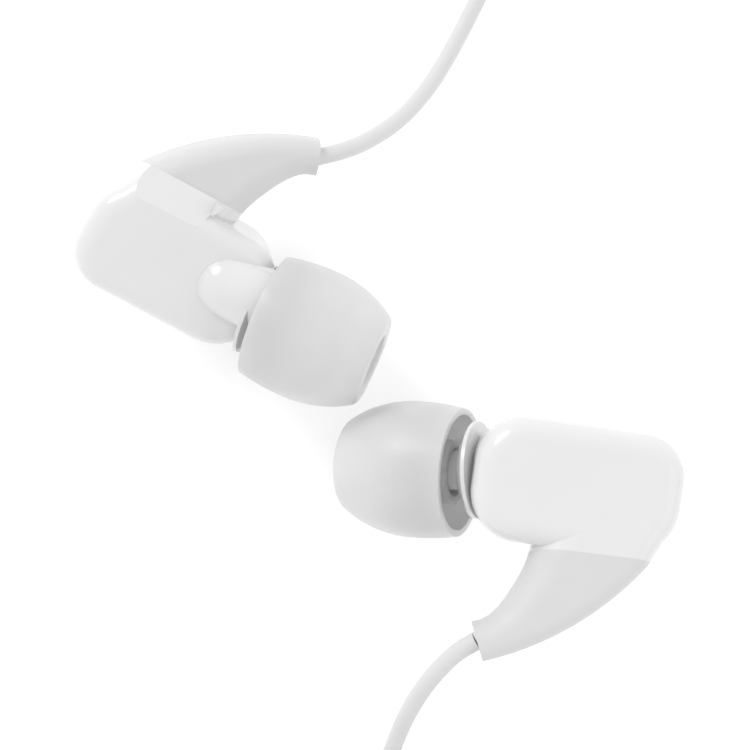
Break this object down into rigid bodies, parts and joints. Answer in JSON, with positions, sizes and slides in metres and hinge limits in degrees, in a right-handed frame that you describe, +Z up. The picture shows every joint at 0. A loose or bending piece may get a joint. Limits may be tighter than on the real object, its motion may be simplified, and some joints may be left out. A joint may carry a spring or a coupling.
{
  "type": "wired earphones",
  "caption": "Mirrored in-ear earbuds with soft domed tips and slanted nozzles on a Y-shaped cord that ends in a slim round audio plug.",
  "frame": {"origin": "on the surface that the earbuds lie on, under the middle of the pair's box", "axes": "+Z up from the surface; +X from the right earbud towards the left one, along the pair's longest side; +Y completes the right-handed frame, away from the plug"},
  "size_m": [0.0692, 0.1259, 0.0167],
  "materials": {
    "white_shell": "glossy moulded white plastic, smooth",
    "white_rubber": "satin white soft rubber",
    "silicone": "translucent milky silicone, satin",
    "cord_sheath": "satin white thermoplastic sheath",
    "steel_mesh": "fine dark woven steel mesh",
    "white_frame": "matte moulded plastic",
    "steel": "bright plated steel",
    "magnet": "nickel-plated magnet",
    "copper_wire": "fine copper winding",
    "film": "thin polymer film",
    "cloth": "thin damping cloth",
    "circuit_board": "matte glass-fibre board",
    "tie_strap": "thin matte plastic strap",
    "white_moulding": "fine satin white overmoulding",
    "plug_metal": "polished nickel plating",
    "plug_insulator": "black insulating plastic"
  },
  "bodies": {
    "earphones": {"right_outer_shell": "white_shell", "right_inner_shell": "white_shell", "right_nozzle_mesh": "steel_mesh", "right_horn": "white_rubber", "right_cord_tail": "cord_sheath", "right_cord_knot": "cord_sheath", "right_driver_frame": "white_frame", "right_yoke": "steel", "right_magnet": "magnet", "right_top_plate": "steel", "right_driver_grille": "steel", "right_damping_cloth": "cloth", "right_terminal_board": "circuit_board", "left_outer_shell": "white_shell", "left_inner_shell": "white_shell", "left_nozzle_mesh": "steel_mesh", "left_horn": "white_rubber", "left_cord_tail": "cord_sheath", "left_cord_knot": "cord_sheath", "left_driver_frame": "white_frame", "left_yoke": "steel", "left_magnet": "magnet", "left_top_plate": "steel", "left_driver_grille": "steel", "left_damping_cloth": "cloth", "left_terminal_board": "circuit_board", "right_cord_lead": "cord_sheath", "right_cord_run": "cord_sheath", "left_cord_lead": "cord_sheath", "left_cord_run": "cord_sheath", "main_cord_lead": "cord_sheath", "main_cord_run": "cord_sheath", "right_coil": "cord_sheath", "left_coil": "cord_sheath", "main_coil": "cord_sheath", "right_tie": "tie_strap", "left_tie": "tie_strap", "main_tie": "tie_strap", "y_splitter": "white_moulding", "plug_body": "white_moulding", "plug_relief": "white_moulding", "plug_sleeve": "plug_metal", "plug_ring": "plug_metal", "plug_tip": "plug_metal", "plug_insulator_back": "plug_insulator", "plug_insulator_front": "plug_insulator"},
    "right_tip": {"right_ear_tip": "silicone"},
    "right_driver_cone": {"right_diaphragm": "film", "right_voice_coil": "copper_wire"},
    "left_tip": {"left_ear_tip": "silicone"},
    "left_driver_cone": {"left_diaphragm": "film", "left_voice_coil": "copper_wire"}
  },
  "joints": [
    {"name": "right_tip_slide", "type": "slide", "parent": "earphones", "child": "right_tip", "axis": [0.8973, -0.4341, 0.0803], "range_m": [-0.0002, 0.0005]},
    {"name": "left_tip_slide", "type": "slide", "parent": "earphones", "child": "left_tip", "axis": [-0.915, -0.0302, -0.4024], "range_m": [-0.0005, 0.0015]},
    {"name": "right_diaphragm_travel", "type": "slide", "parent": "earphones", "child": "right_driver_cone", "axis": [0.1633, -0.3648, 0.9167], "range_m": [-0.0002, 0.0002], "stiffness_N_per_m": 100},
    {"name": "left_diaphragm_travel", "type": "slide", "parent": "earphones", "child": "left_driver_cone", "axis": [0.027, -0.0453, -0.9986], "range_m": [-0.0002, 0.0002], "stiffness_N_per_m": 100}
  ]
}
